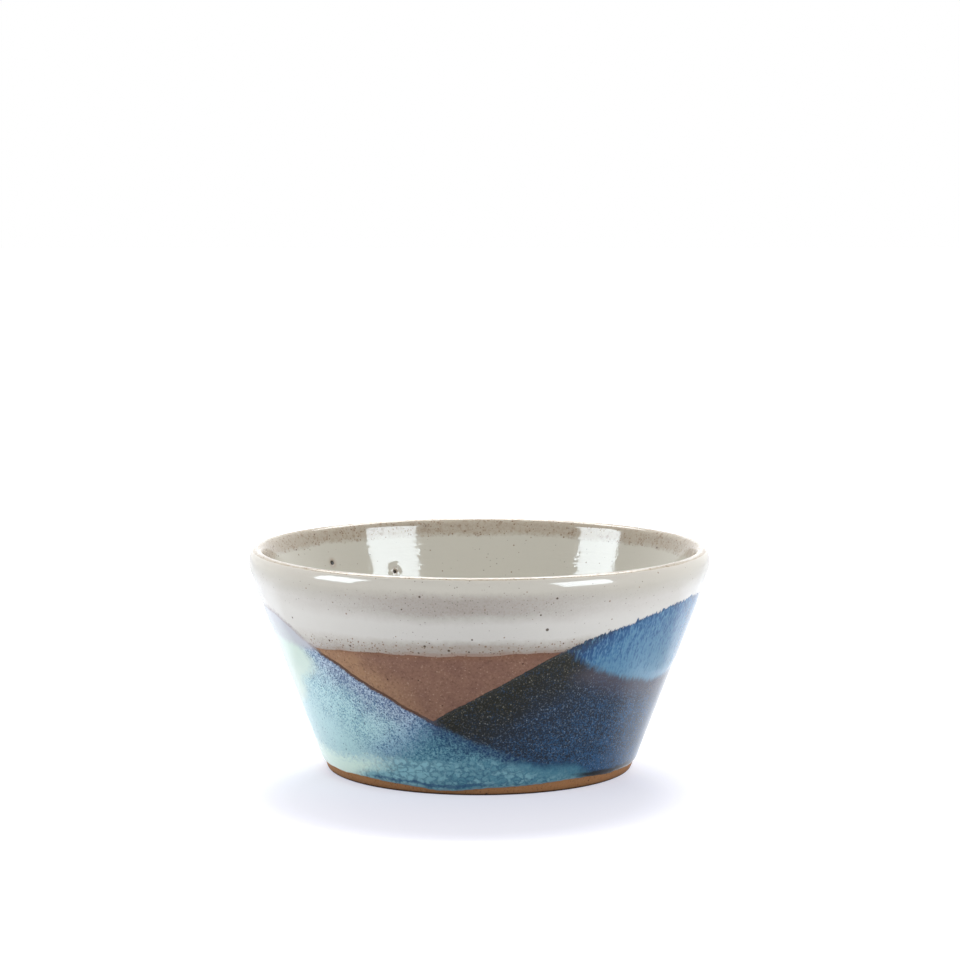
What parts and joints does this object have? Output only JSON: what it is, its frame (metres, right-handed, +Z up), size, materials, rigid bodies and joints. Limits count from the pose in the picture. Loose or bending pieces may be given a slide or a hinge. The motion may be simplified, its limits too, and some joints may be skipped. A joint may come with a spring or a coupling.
{
  "type": "stoneware bowl",
  "caption": "Wheel-thrown stoneware bowl with a straight flared wall, rounded lip and trimmed foot, white inside, with slanted dips of dark and pale blue glaze outside.",
  "frame": {"origin": "centre of the foot, on the surface the bowl stands on", "axes": "+Z up along the axis of the bowl, -Y towards the side that the picture shows"},
  "size_m": [0.1502, 0.15, 0.072],
  "materials": {
    "clay": "matte",
    "white_glaze": "gloss",
    "pale_blue_glaze": "gloss",
    "dark_glaze": "gloss",
    "dark_over_white": "gloss",
    "blue_over_white": "gloss",
    "blue_over_dark": "gloss"
  },
  "bodies": {
    "root": {"clay_body": "clay", "white_glaze": "white_glaze", "pale_blue_glaze": "pale_blue_glaze", "dark_glaze": "dark_glaze", "dark_over_white_melt": "dark_over_white", "blue_over_white_melt": "blue_over_white", "blue_over_dark_melt_front": "blue_over_dark", "blue_over_dark_melt_back": "blue_over_dark"}
  },
  "joints": []
}
